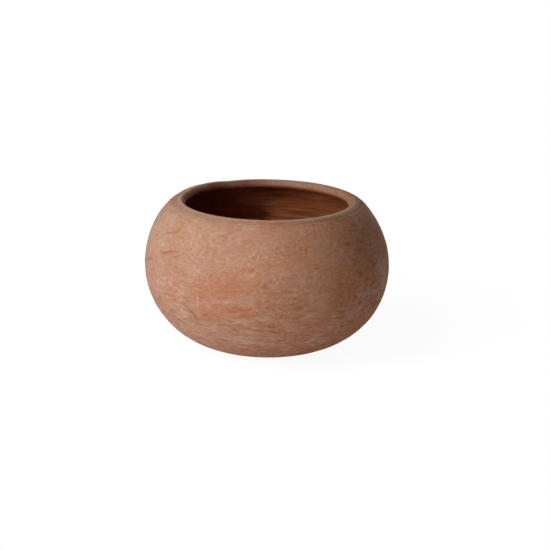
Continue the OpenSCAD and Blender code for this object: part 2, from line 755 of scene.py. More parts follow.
@dataclass(frozen=True)
class ThrowingMarks:
    """How far the clay strays from a perfect turned form, and where.

    A name that ends in _z is a height above the ground, or two between which a mark comes or goes.

    Attributes:
        foot_lean: How far the low part is shifted along X.
        neck_lean: How far the high part is shifted along X.
        lean_spread: How far up and down each of these shifts reaches.
        oval: How far the clay is out of round.
        oval_twist: How fast that turns with height, in radians for each metre.
        three_sided: The share of oval that has three sides rather than two.
        three_sided_turn: Where those three sides are, in radians.
        band: The depth of the bands outside, which noise scales.
        bands: The noise of the bands.
        dent: The depth of the dents outside, which noise scales.
        dents: The noise of the dents.
        high_dents: The share of the dents that is left high up.
        ring: The depth of the rings inside.
        ring_pitch: How far apart the rings are.
        drifts: How far noise moves the rings, in pitches.
        changes: How noise changes their depth.
        flat_floor: Where the rings of the floor start, in pitches from the axis.
        line: The depth of the lines turned round the neck.
        lines: Those lines, from the innermost outward.
        least_line: What is left of the lines where they are wiped away.
        line_side: Where they come back, from the left to the right.
        line_wander: How far noise moves that place.
        high_spot: How far the lip rises at its one high spot.
        high_spot_turn: Where that spot is round the pot, from the front towards the right.
        high_spot_near: How nearly a point has to look that way.
    """

    foot_lean: float = 0.0012
    foot_lean_z: float = 0.060
    neck_lean: float = -0.0021
    neck_lean_z: float = 0.270
    lean_spread: float = 0.060
    oval: float = 0.0005
    oval_twist: float = 9.0
    three_sided: float = 0.6
    three_sided_turn: float = 2.0
    oval_z: Span = (0.004, 0.060)
    band: float = 0.0011
    bands: Layer = Layer(9.0, 0.016, detail=1.0)
    dent: float = 0.0009
    dents: Layer = Layer(4.5, 0.0065, detail=1.0)
    high_dents: float = 0.35
    dents_z: Span = (0.215, 0.120)
    outside_z: Span = (0.002, 0.012)
    ring: float = 0.0007
    ring_pitch: float = 0.0095
    drifts: Layer = Layer(2.0, 0.09, detail=1.0, swing=1.4)
    changes: Layer = Layer(3.0, 0.05, detail=1.0, swing=1.6, level=1.0)
    flat_floor: Span = (2.0, 5.0)
    inside_end_z: Span = (0.270, 0.300)
    line: float = 0.00075
    lines: tuple[TurnedLine, ...] = (
        TurnedLine(0.1832, 0.0014, 1.0),
        TurnedLine(0.1918, 0.0014, 0.9),
        TurnedLine(0.1990, 0.0015, 0.5),
    )
    lines_z: Span = (0.270, 0.280)
    least_line: float = 0.30
    line_side: Span = (0.15, 0.85)
    line_wander: Layer = Layer(1.0, 0.12, detail=1.0, swing=1.2)
    high_spot: float = 0.0024
    high_spot_turn: float = math.radians(-132)
    high_spot_near: Span = (0.925, 0.998)
    high_spot_z: Span = (0.225, 0.295)


class MarkInput(Enum):
    """The named inputs of the throwing tree, each with its kind of socket."""

    COLUMNS = ("Columns", "NodeSocketInt")
    FOOT_LEAN = ("Foot lean", "NodeSocketFloat")
    NECK_LEAN = ("Neck lean", "NodeSocketFloat")
    OVAL = ("Oval", "NodeSocketFloat")
    BAND = ("Band depth", "NodeSocketFloat")
    DENT = ("Dent depth", "NodeSocketFloat")
    RING = ("Ring depth", "NodeSocketFloat")
    RING_PITCH = ("Ring pitch", "NodeSocketFloat")
    LINE = ("Line depth", "NodeSocketFloat")
    HIGH_SPOT = ("High spot", "NodeSocketFloat")
    SEED = ("Seed", "NodeSocketFloat")
    CLAY = ("Clay", "NodeSocketMaterial")


@dataclass(frozen=True)
class Spot:
    """What the throwing tree knows of a point before it is marked.

    Attributes:
        share: The turn, from 0 to 1.
        across: Cosine of the turn.
        up: Sine of the turn.
        radius: Its radius.
        height: Its height above the ground.
        along: How far along the outline it is.
        skin: 1 outside and 0 inside.
    """

    share: Term
    across: Term
    up: Term
    radius: Term
    height: Term
    along: Term
    skin: Term


class ThrowingTree:
    """The tree that throws a clay section: it turns a section's points about Z and marks the clay.

    The points come in as a mesh with no faces, with the attributes that SectionRows holds.
    """

    SHARP_EDGE = math.radians(38)
    MERGE = 1e-6
    GIRTH = 0.25

    def __init__(self, marks: ThrowingMarks) -> None:
        """Builds the tree.

        Args:
            marks: Where the marks are and how wide they are.
        """
        self.marks = marks
        self.group = bpy.data.node_groups.new("throwing", "GeometryNodeTree")
        self.sockets: dict[MarkInput, str] = {}
        surface = self.group.interface
        surface.new_socket("Section", in_out="INPUT", socket_type="NodeSocketGeometry")
        for item in MarkInput:
            name, kind = item.value
            made = surface.new_socket(name, in_out="INPUT", socket_type=kind)
            self.sockets[item] = made.identifier
        surface.new_socket("Clay section", in_out="OUTPUT", socket_type="NodeSocketGeometry")
        self.maker = NodeMaker(self.group)
        self.inputs = self.maker.node("NodeGroupInput")
        self.build()

    def given(self, item: MarkInput) -> Term:
        """Gives one of the tree's inputs."""
        return self.inputs[self.sockets[item]]

    def build(self) -> None:
        """Joins the turned grid, its marks and its finish."""
        m = self.maker
        section = self.inputs["Section"]
        columns = self.given(MarkInput.COLUMNS)
        counts = m.node("GeometryNodeAttributeDomainSize", None, {"Geometry": section})
        rows = counts["Point Count"]
        sizes = {"Size X": 1.0, "Size Y": 1.0, "Vertices X": rows + 1, "Vertices Y": columns + 1}
        grid = m.node("GeometryNodeMeshGrid", None, sizes)["Mesh"]
        index = m.node("GeometryNodeInputIndex")["Index"]
        row = m.math("FLOOR", (index + 0.5) / (columns + 1))
        column = index - row * (columns + 1)
        share = (column % columns) / columns
        self.index = row % rows
        place = self.read(section, m.node("GeometryNodeInputPosition")["Position"], "FLOAT_VECTOR")
        normal = self.attribute(section, "normal", "FLOAT_VECTOR")
        along, skin, give = (self.attribute(section, name) for name in ("along", "skin", "give"))
        across, up = m.math("COSINE", share * TURN), m.math("SINE", share * TURN)
        radius, _, height = m.parts(place)
        outward, _, upward = m.parts(normal)
        spot = Spot(share, across, up, radius, height, along, skin)
        groove = skin * self.groove(spot)
        travel = give * (self.depth(spot) - self.given(MarkInput.LINE) * groove)
        reach = radius + outward * travel + give * self.swell(spot)
        lifted = height + upward * travel + self.lift(spot)
        there = m.point(across * reach + self.lean(spot), up * reach, lifted)
        mesh = m.node("GeometryNodeSetPosition", None, {"Geometry": grid, "Position": there})["Geometry"]
        for name, value in (("along", along), ("skin", skin), ("groove", groove)):
            mesh = self.store(mesh, name, value)
        closed = m.node("GeometryNodeMergeByDistance", None, {"Geometry": mesh, "Distance": self.MERGE})
        outward_faces = m.node("GeometryNodeFlipFaces", None, {"Mesh": closed["Geometry"]})["Mesh"]
        smooth = m.node("GeometryNodeSetShadeSmooth", None, {"Geometry": outward_faces})
        bend = m.node("GeometryNodeInputMeshEdgeAngle")["Unsigned Angle"]
        crisp = {
            "Geometry": smooth["Geometry"],
            "Selection": m.math("GREATER_THAN", bend, self.SHARP_EDGE),
            "Shade Smooth": False,
        }
        edged = m.node("GeometryNodeSetShadeSmooth", {"domain": "EDGE"}, crisp)["Geometry"]
        real = m.node("GeometryNodeRealizeInstances", None, {"Geometry": edged})["Geometry"]
        clay = {"Geometry": real, "Material": self.given(MarkInput.CLAY)}
        done = m.node("GeometryNodeSetMaterial", None, clay)["Geometry"]
        m.node("NodeGroupOutput", None, {"Clay section": done})

    def attribute(self, section: Term, name: str, kind: str = "FLOAT") -> Term:
        """Brings a named attribute of the section's points to the grid.

        Args:
            section: The section's points.
            name: The attribute's name.
            kind: Its data type.

        Returns:
            The attribute at each point of the grid.
        """
        made = self.maker.node("GeometryNodeInputNamedAttribute", {"data_type": kind}, {"Name": name})
        return self.read(section, made["Attribute"], kind)

    def read(self, section: Term, value: Term, kind: str) -> Term:
        """Brings a value of the section's points to the grid.

        Args:
            section: The section's points.
            value: What is read there.
            kind: The value's data type.

        Returns:
            The value at each point of the grid.
        """
        values = {"Geometry": section, "Value": value, "Index": self.index}
        return self.maker.node("GeometryNodeSampleIndex", {"data_type": kind}, values)["Value"]

    def store(self, mesh: Term, name: str, value: Term) -> Term:
        """Keeps a value on the mesh, for the clay's finish to read."""
        values = {"Geometry": mesh, "Name": name, "Value": value}
        return self.maker.node("GeometryNodeStoreNamedAttribute", {"data_type": "FLOAT"}, values)["Geometry"]

    def lean(self, spot: Spot) -> Term:
        """Works out how far along X the clay was thrown off its axis.

        Args:
            spot: The point.

        Returns:
            The distance.
        """
        s, m = self.marks, self.maker
        low = self.given(MarkInput.FOOT_LEAN) * m.bell(spot.height, s.foot_lean_z, s.lean_spread)
        return low + self.given(MarkInput.NECK_LEAN) * m.bell(spot.height, s.neck_lean_z, s.lean_spread)

    def lift(self, spot: Spot) -> Term:
        """Works out what the height gains at the lip's one high spot.

        Args:
            spot: The point.

        Returns:
            The gain.
        """
        s, m = self.marks, self.maker
        nearness = spot.across * math.sin(s.high_spot_turn) - spot.up * math.cos(s.high_spot_turn)
        near = m.rise(nearness, *s.high_spot_near)
        return self.given(MarkInput.HIGH_SPOT) * near * m.rise(spot.height, *s.high_spot_z)

    def swell(self, spot: Spot) -> Term:
        """Works out what the radius gains where the clay is out of round.

        Args:
            spot: The point.

        Returns:
            The gain, in all of the pot but its foot.
        """
        s, m = self.marks, self.maker
        two_sided = m.math("COSINE", spot.share * (2 * TURN) + spot.height * s.oval_twist)
        three_sided = m.math("COSINE", spot.share * (3 * TURN) + s.three_sided_turn)
        sides = two_sided + s.three_sided * three_sided
        return self.given(MarkInput.OVAL) * sides * m.rise(spot.height, *s.oval_z)

    def groove(self, spot: Spot) -> Term:
        """Works out how deep the lines turned round the neck are, which fade on one side.

        Args:
            spot: The point.

        Returns:
            The depth, where 1 is a full line.
        """
        s, m = self.marks, self.maker
        lines: Operand = 0.0
        for line in s.lines:
            lines = line.strength * m.bell(spot.radius, line.radius, line.width) + lines
        at = m.point(spot.across * self.GIRTH, spot.up * self.GIRTH, spot.height)
        wander = s.line_wander.drawn(m, at)
        left = m.at_least(s.least_line, m.rise(spot.across + wander, *s.line_side))
        return lines * m.rise(spot.height, *s.lines_z) * left

    def depth(self, spot: Spot) -> Term:
        """Works out how far each point moves outward.

        Args:
            spot: The point.

        Returns:
            The travel along the normal.
        """
        s, m = self.marks, self.maker
        seed = self.given(MarkInput.SEED)
        pitch = self.given(MarkInput.RING_PITCH)

        def drawn(layer: Layer) -> Term:
            """Draws a layer of noise round the pot."""
            girth = self.GIRTH / layer.stretch
            return layer.drawn(m, m.point(spot.across * girth + seed, spot.up * girth, spot.along))

        dents = drawn(s.dents) * m.at_least(s.high_dents, m.rise(spot.height, *s.dents_z))
        outside = self.given(MarkInput.BAND) * drawn(s.bands) + self.given(MarkInput.DENT) * dents
        outside = outside * m.rise(spot.height, *s.outside_z)
        turns = spot.along / pitch + spot.share + drawn(s.drifts)
        ridge = m.math("ABSOLUTE", m.math("SINE", turns * math.pi))
        rings = (0.5 - ridge) * drawn(s.changes)
        off_axis = m.rise(spot.radius, *(s.ring_pitch * pitches for pitches in s.flat_floor))
        inside = self.given(MarkInput.RING) * rings * off_axis
        below_lip = 1.0 - m.rise(spot.height, *s.inside_end_z)
        return spot.skin * outside + (1.0 - spot.skin) * inside * below_lip


@dataclass
class Wheel:
    """Throws clay sections with one tree, so that their marks meet at the borders."""

    tree: ThrowingTree
    columns: int = 400
    seed: float = 3.7

    def thrown(self, name: str, rows: SectionRows, clay: bpy.types.Material) -> bpy.types.Object:
        """Turns the points round a section into a solid piece of clay.

        Args:
            name: The piece's name.
            rows: The points round its section, in order.
            clay: Its material.

        Returns:
            The piece, as a plain mesh with its place in its points.
        """
        count = len(rows.places)
        mesh = bpy.data.meshes.new(name)
        level = np.zeros(count)
        mesh.from_pydata(np.column_stack((rows.places[:, 0], level, rows.places[:, 1])).tolist(), [], [])
        facing = np.column_stack((rows.normals[:, 0], level, rows.normals[:, 1]))
        mesh.attributes.new("normal", "FLOAT_VECTOR", "POINT").data.foreach_set("vector", facing.ravel())
        for attribute, values in (("along", rows.along), ("skin", rows.skin), ("give", rows.give)):
            mesh.attributes.new(attribute, "FLOAT", "POINT").data.foreach_set("value", values)
        piece = placed(name, mesh)
        self.set_inputs(piece.modifiers.new("throwing", "NODES"), clay)
        evaluated = piece.evaluated_get(bpy.context.evaluated_depsgraph_get())
        solid = bpy.data.meshes.new_from_object(evaluated)
        piece.modifiers.clear()
        piece.data = solid
        solid.name = name
        bpy.data.meshes.remove(mesh)
        return piece

    def set_inputs(self, modifier: bpy.types.NodesModifier, clay: bpy.types.Material) -> None:
        """Fills in the tree's inputs on a modifier.

        Args:
            modifier: The modifier.
            clay: The material for the piece.
        """
        marks = self.tree.marks
        values = {
            MarkInput.COLUMNS: self.columns,
            MarkInput.FOOT_LEAN: marks.foot_lean,
            MarkInput.NECK_LEAN: marks.neck_lean,
            MarkInput.OVAL: marks.oval,
            MarkInput.BAND: marks.band,
            MarkInput.DENT: marks.dent,
            MarkInput.RING: marks.ring,
            MarkInput.RING_PITCH: marks.ring_pitch,
            MarkInput.LINE: marks.line,
            MarkInput.HIGH_SPOT: marks.high_spot,
            MarkInput.SEED: self.seed,
            MarkInput.CLAY: clay,
        }
        modifier.node_group = self.tree.group
        for item, value in values.items():
            modifier[self.tree.sockets[item]] = value


# ------------------------------------------------------------------------------------- sections


@dataclass
class ClaySection:
    """One clay section of the pot: a slice of its outline, with its hidden joint faces."""

    outline: Outline
    node: str
    outside_spacing: float
    inside_spacing: float

    def rows(self) -> SectionRows:
        """Lists the points round this section, in order."""
        raise NotImplementedError

    def build(self, wheel: Wheel, clay: bpy.types.Material) -> bpy.types.Object:
        """Throws this section and dresses it.

        Args:
            wheel: What throws it.
            clay: Its material.

        Returns:
            The finished piece, which rides on the body and stands for the model's node.
        """
        piece = wheel.thrown(f"{self.node}_clay", self.rows(), clay)
        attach(piece, BODY)
        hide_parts(self.node)
        return piece


class FloorSlab(ClaySection):
    """The disc that the pot stands on, with its drain hole."""

    def rows(self) -> SectionRows:
        """Lists the points round the slab.

        Returns:
            The underside, the seat, the floor and the hole.
        """
        s = self.outline.sizes
        under = self.outline.stretch(None, Border.SEAT, self.outside_spacing)
        seat = joint_face([(s.floor_r, s.slab - s.seat)], under)
        top = self.outline.stretch(Border.FLOOR_EDGE, None, self.inside_spacing)
        return under.joined(seat).joined(top)


class LowerWall(ClaySection):
    """The wall from the floor up to the belly, with the ridge along its top edge."""

    def rows(self) -> SectionRows:
        """Lists the points round the lower wall.

        Returns:
            The outside from the seat up, the ridge, the inside down to the floor, and the seat.
        """
        s = self.outline.sizes
        out = self.outline.stretch(Border.SEAT, Border.BELLY_OUTSIDE, self.outside_spacing)
        ridge = joint_face(belly_ridge(s), out)
        within = self.outline.stretch(Border.BELLY_INSIDE, Border.FLOOR_EDGE, self.inside_spacing)
        seat = joint_face([(s.floor_r, s.slab - s.seat)], within)
        return out.joined(ridge).joined(within).joined(seat)


class UpperWall(ClaySection):
    """The incurved shoulder from the belly up to the lip."""

    def rows(self) -> SectionRows:
        """Lists the points round the shoulder.

        Returns:
            The outside from the belly up, the inside down again, and the groove for the ridge.
        """
        out = self.outline.stretch(Border.BELLY_OUTSIDE, Border.COIL_OUTSIDE, self.outside_spacing)
        within = self.outline.stretch(Border.COIL_INSIDE, Border.BELLY_INSIDE, self.inside_spacing)
        groove = joint_face(belly_ridge(self.outline.sizes)[::-1], within)
        return out.joined(within).joined(groove)


class RimCoil(ClaySection):
    """The coil that is rolled into the lip."""

    def rows(self) -> SectionRows:
        """Lists the points round the lip, from its outer border over the roll to the inner one."""
        return self.outline.stretch(Border.COIL_OUTSIDE, Border.COIL_INSIDE, self.outside_spacing)


def belly_ridge(sizes: BowlSizes) -> list[Point]:
    """Lists the corners of the ridge that locks the walls together.

    Args:
        sizes: The bowl's sizes.

    Returns:
        Its corners, from the outside in.
    """
    middle = sizes.belly_r - sizes.wall / 2
    root = sizes.ridge_w / 2
    crest = root - sizes.ridge_lean
    top = sizes.belly_z + sizes.ridge_h
    return [
        (middle + root, sizes.belly_z),
        (middle + crest, top),
        (middle - crest, top),
        (middle - root, sizes.belly_z),
    ]


# --------------------------------------------------------------------------------------- finish


@dataclass(frozen=True)
class Stroke:
    """A mark on the face of the clay, such as a scrape, a smear, a patch or a pit.

    Attributes:
        turn: Where its middle is round the pot, in degrees from the front towards the right.
        height: How high its middle is.
        length: Half of its length.
        width: Half of its width.
        tilt: How steeply it rises towards the right, in degrees.
        strength: How much of its colour shows, from 0 to 1.
    """

    turn: float
    height: float
    length: float
    width: float
    tilt: float = 0.0
    strength: float = 1.0

    def frame(self, outline: Outline, side: Skin) -> tuple[Vector, Matrix]:
        """Finds where the stroke lies.

        Args:
            outline: The pot's outline.
            side: The side of the wall that it is on.

        Returns:
            Its middle, and a matrix whose columns run along it, across it and out of the clay.
        """
        (radius, height), (outward, upward) = outline.face_at(self.height, side)
        turn, tilt = math.radians(self.turn), math.radians(self.tilt)
        middle = Vector((radius * math.sin(turn), -radius * math.cos(turn), height))
        out = Vector((outward * math.sin(turn), -outward * math.cos(turn), upward)).normalized()
        level = Vector((math.cos(turn), math.sin(turn), 0.0)) * (1.0 if side is Skin.OUTSIDE else -1.0)
        ahead = level * math.cos(tilt) + out.cross(level) * math.sin(tilt)
        return middle, Matrix((ahead, out.cross(ahead), out)).transposed()


class ClayFace:
    """Where a point of the clay is, in each of the ways that its finish needs."""

    GIRTH = 0.24
    LEAST_RADIUS = 0.001
    DEPTH = 0.010
    EDGE = 0.75
    SLANT = 0.25
    SLANT_FROM_Z = (0.110, 0.220)
    SLANT_TO_Z = (0.285, 0.250)
    SHAKE = 0.0016
    SHAKE_SIZE = 0.010

    def __init__(self, maker: NodeMaker, outline: Outline) -> None:
        """Reads the point's place and attributes.

        Args:
            maker: The maker of the material's tree.
            outline: The pot's outline.
        """
        self.maker = maker
        self.outline = outline
        self.place = maker.node("ShaderNodeTexCoord")["Object"]
        x, y, self.height = maker.parts(self.place)
        self.radius = maker.larger(maker.math("SQRT", x * x + y * y), self.LEAST_RADIUS)
        self.across = x / self.radius
        self.deep = y / self.radius
        self.along = maker.kept("along")
        self.skin = maker.kept("skin")
        shoulder = self.skin * maker.rise(self.height, *self.SLANT_FROM_Z)
        shoulder = shoulder * maker.rise(self.height, *self.SLANT_TO_Z)
        self.wiped_along = self.along - self.SLANT * x * self.deep * self.deep * shoulder
        self.shaken = self.shaken_place()

    def shaken_place(self) -> Term:
        """Shakes the point's place a little, so that what is drawn there is not quite straight.

        Returns:
            The new place.
        """
        m = self.maker
        values = {"Vector": self.place, "Scale": 1 / self.SHAKE_SIZE, "Detail": 1.0}
        shake = m.node("ShaderNodeTexNoise", None, values)["Color"]
        centred = m.vector("SUBTRACT", shake, (0.5, 0.5, 0.5))
        return m.vector("MULTIPLY_ADD", centred, (4 * self.SHAKE,) * 3, self.place)

    def layer(self, layer: Layer) -> Term:
        """Draws a layer of noise that runs round the pot.

        Args:
            layer: The layer.

        Returns:
            What it gives at the point.
        """
        girth = self.GIRTH / layer.stretch
        at = self.maker.point(self.across * girth + layer.shift, self.deep * girth, self.wiped_along)
        return layer.drawn(self.maker, at)

    def struck(self, strokes: Sequence[Stroke], side: Skin) -> Term:
        """Draws strokes.

        Args:
            strokes: What is drawn.
            side: The side of the wall that they are on.

        Returns:
            How much of a stroke there is at the point, from 0 to 1.
        """
        m = self.maker
        total: Operand = 0.0
        for stroke in strokes:
            middle, turned = stroke.frame(self.outline, side)
            values = {
                "Vector": self.shaken,
                "Location": middle,
                "Rotation": turned.to_euler(),
                "Scale": (stroke.length, stroke.width, max(self.DEPTH, stroke.length)),
            }
            local = m.node("ShaderNodeMapping", {"vector_type": "TEXTURE"}, values)["Vector"]
            near = m.node("ShaderNodeTexGradient", {"gradient_type": "SPHERICAL"}, {"Vector": local})["Fac"]
            total = m.rise(near, 0.0, self.EDGE) * stroke.strength + total
        return m.math("MINIMUM", total, 1.0)


class Mark(Enum):
    """What the values of the finish are mixed from."""

    ACROSS = "place from left to right"
    CLOUDS = "clouds"
    DRIFTS = "drifts"
    STREAKS = "streaks"
    FIBRES = "fibres"
    GRAIN = "grain"
    FOOT = "foot"
    PALE = "pale patches"
    DABS = "dabs"
    THIN = "thin marks"
    PITS = "pits"
    SCRAPES = "scrapes"
    PAINTED_LIGHT = "lighter side"
    BANDS = "bands"
    LOW = "low part"


@dataclass(frozen=True)
class Amount:
    """How much of one mark there is in a mixture.

    Attributes:
        of: The mark.
        everywhere: What it is multiplied by.
        wiped: What is added to that where the clay is wiped, low on the outside.
    """

    of: Mark
    everywhere: float
    wiped: float = 0.0


@dataclass(frozen=True)
class Mixture:
    """A value of the finish: a number to start from, and marks that are added to it."""

    base: float
    amounts: tuple[Amount, ...]

    def of(self, marks: Mapping[Mark, Term], wiped: Operand = 0.0) -> Term:
        """Adds up the marks, each times its amount.

        Args:
            marks: Each mark at the point.
            wiped: How far the clay is wiped there, from 0 to 1.

        Returns:
            The value.
        """
        total: Any = self.base
        for amount in self.amounts:
            times = amount.everywhere + amount.wiped * wiped if amount.wiped else amount.everywhere
            total = total + times * marks[amount.of]
        return total


@dataclass(frozen=True)
class FiredTerracotta:
    """Unglazed fired clay, with a pale bloom and wiping marks outside and bare red clay inside.

    Two numbers in one field are where something comes or goes, from 0 to 1: a name that ends in _z
    gives heights, _r radii, _side places from -1 at the left to 1 at the right, and _deep places from
    -1 at the front to 1 at the back. A _share is the most that shows of a colour or a mark.
    """

    SHADES = (1.0, 1.34, 1.63)

    outline: Outline
    bare: str = "#BF7952"
    bloom: str = "#D4AA92"
    straw: str = "#B7976F"
    rosy: str = "#CB9684"
    rust: str = "#C46E40"
    # dark red-brown of scrapes, pits and thin marks, also used as painted shade in the turned lines
    scorched_and_groove_shade: str = "#7C3826"
    # pale colour of the dabs and of the lip's line, which is partly wear and partly painted highlight
    worn_and_highlight: str = "#DEC2A4"
    dull: str = "#8C7A63"
    lip_shade: str = "#84523A"
    # pale clay of the inner roll's right side, partly painted light there; also the colour of the paler upper
    # left
    lip_dust_and_light: str = "#AC8870"
    inside_deep: str = "#8A4A2C"
    inside_light: str = "#CC8250"
    inside_red: str = "#B24424"
    inside_dust: str = "#D19A70"
    roughness: float = 0.88
    gloss: float = 0.3
    straw_share: float = 0.14
    rosy_share: float = 0.40
    upper_left_pale_share: float = 0.20
    rust_share: float = 0.75
    thin_share: float = 0.55
    pit_share: float = 0.30
    mottle_share: float = 0.45
    scrape_share: float = 0.80
    dab_share: float = 0.6
    dull_share: float = 0.60
    dull_left_share: float = 0.20
    groove_shade_share: float = 0.40
    worn_highlight_share: float = 0.55
    red_share: float = 0.85
    dust_share: float = 0.7
    wiped_z: Span = (0.235, 0.110)
    foot_z: Span = (0.018, 0.004)
    upper_left_pale_z: Span = (0.140, 0.220)
    upper_left_pale_side: Span = (-0.15, -0.60)
    rust_level: float = 0.75
    rust_streaks: float = 1.6
    least_thin: float = 0.15
    mottled_side: Span = (0.35, 0.70)
    calm_side: Span = (0.80, 0.97)
    calm: float = 0.5
    dull_z: Span = (0.268, 0.282)
    dull_r: Span = (0.200, 0.190)
    dull_reach: float = 0.006
    dull_side: Span = (-0.1, 0.6)
    least_dull: float = 0.15
    dull_left_side: Span = (-0.45, -0.80)
    rolled_in: Span = (-0.001, 0.006)
    left_lip_shade_gain: float = 0.15
    lip_light_side: Span = (-0.35, 0.30)
    worn_highlight_below: float = 0.0032
    worn_highlight_width: float = 0.0036
    highlight_deep: Span = (0.6, 0.0)
    least_worn: float = 0.25
    turned_away: float = 0.10
    turned_away_z: Span = (0.200, 0.080)
    band_wander: float = 0.25
    painted_light_side: Span = (-0.10, 0.10)
    painted_light_deep: Span = (-0.2, 0.3)
    low_z: Span = (0.200, 0.100)
    under_lip_z: Span = (0.150, 0.262)
    under_lip_side: Span = (0.1, 0.6)
    under_lip_loss: float = 0.6
    under_lip_shade: float = 0.34
    lit_strip_gain: float = 0.55
    lit_strip_side: Span = (-0.05, 0.05)
    lit_strip_end_side: Span = (0.45, 0.10)
    lit_strip_z: Span = (0.140, 0.212)
    lit_strip_end_z: Span = (0.266, 0.222)
    clouds: Layer = Layer(1.4, 0.085)
    drifts: Layer = Layer(2.2, 0.030, 0.3)
    streaks: Layer = Layer(4.0, 0.0062, 0.0, 3.0, 0.65)
    fibres: Layer = Layer(3.2, 0.0036, 0.1)
    worked: Layer = Layer(1.5, 0.045, 9.0, 1.0, edges=(-0.12, 0.16), swing=1.1, level=0.55)
    grain: Layer = Layer(1.0, 0.0056, detail=1.5, rough=0.40)
    straw_parts: Layer = Layer(1.3, 0.050, 0.7, 1.0, edges=(0.0, 0.2))
    rosy_parts: Layer = Layer(1.3, 0.055, 1.9, 1.0, edges=(0.0, 0.2))
    rust_parts: Layer = Layer(1.8, 0.050, 2.6, edges=(0.04, 0.24), swing=0.5)
    ragged: Layer = Layer(2.0, 0.012, 8.1, swing=1.2)
    thin_marks: Layer = Layer(6.0, 0.0065, 3.1, 2.0, 0.55, edges=(0.06, 0.22))
    crowds: Layer = Layer(1.6, 0.050, 4.2, 1.0, edges=(-0.14, 0.14))
    pits: Layer = Layer(1.0, 0.0050, detail=1.0, edges=(0.20, 0.36))
    mottles: Layer = Layer(1.2, 0.010, 6.3, edges=(0.02, 0.24))
    dull_parts: Layer = Layer(1.5, 0.08, 5.5, swing=1.5, level=0.9)
    rolled_parts: Layer = Layer(1.5, 0.04, 7.5, swing=0.9, level=0.65)
    worn_highlight_parts: Layer = Layer(2.0, 0.05, 6.5, swing=1.5, level=0.8)
    inside_bands: Layer = Layer(7.0, 0.011, 0.4)
    inside_clouds: Layer = Layer(1.5, 0.060, 1.1)
    inside_grain: Layer = Layer(1.0, 0.005)
    red_marks: Layer = Layer(8.0, 0.012, 2.7, 1.0, edges=(0.06, 0.22))
    red_crowds: Layer = Layer(1.2, 0.090, 3.3, 1.0, edges=(-0.05, 0.15))
    bloom_and_painted_light: Mixture = Mixture(0.42, (
        # painted light: the bloom share falls towards the right, so the lit left is paler and the shaded
        # right redder
        Amount(Mark.ACROSS, -0.34),
        Amount(Mark.CLOUDS, 0.7),
        Amount(Mark.DRIFTS, 0.5),
        Amount(Mark.STREAKS, 0.26, wiped=0.54),
        Amount(Mark.GRAIN, 0.3),
        Amount(Mark.FIBRES, 0.3, wiped=0.2),
        Amount(Mark.FOOT, -0.7),
        Amount(Mark.PALE, 0.5),
    ))
    relief: Mixture = Mixture(0.0, (
        Amount(Mark.STREAKS, 0.00013, wiped=0.00035),
        Amount(Mark.GRAIN, 0.00032),
        Amount(Mark.FIBRES, 0.00050),
        Amount(Mark.DABS, 0.00025),
        Amount(Mark.THIN, -0.00015),
        Amount(Mark.PITS, -0.00005),
        Amount(Mark.SCRAPES, -0.00010),
    ))
    shade: Mixture = Mixture(0.0, (
        Amount(Mark.GRAIN, 0.26),
        Amount(Mark.FIBRES, 0.36),
        Amount(Mark.STREAKS, 0.10, wiped=0.45),
    ))
    inside_tone_and_painted_light: Mixture = Mixture(0.16, (
        # painted light: the inside is lighter towards the right and on its lit side, where light falls in
        # over the lip
        Amount(Mark.ACROSS, 0.22),
        Amount(Mark.PAINTED_LIGHT, 0.34),
        Amount(Mark.BANDS, 1.5),
        Amount(Mark.CLOUDS, 0.9),
        Amount(Mark.GRAIN, 0.4),
        Amount(Mark.LOW, 0.12),
    ))
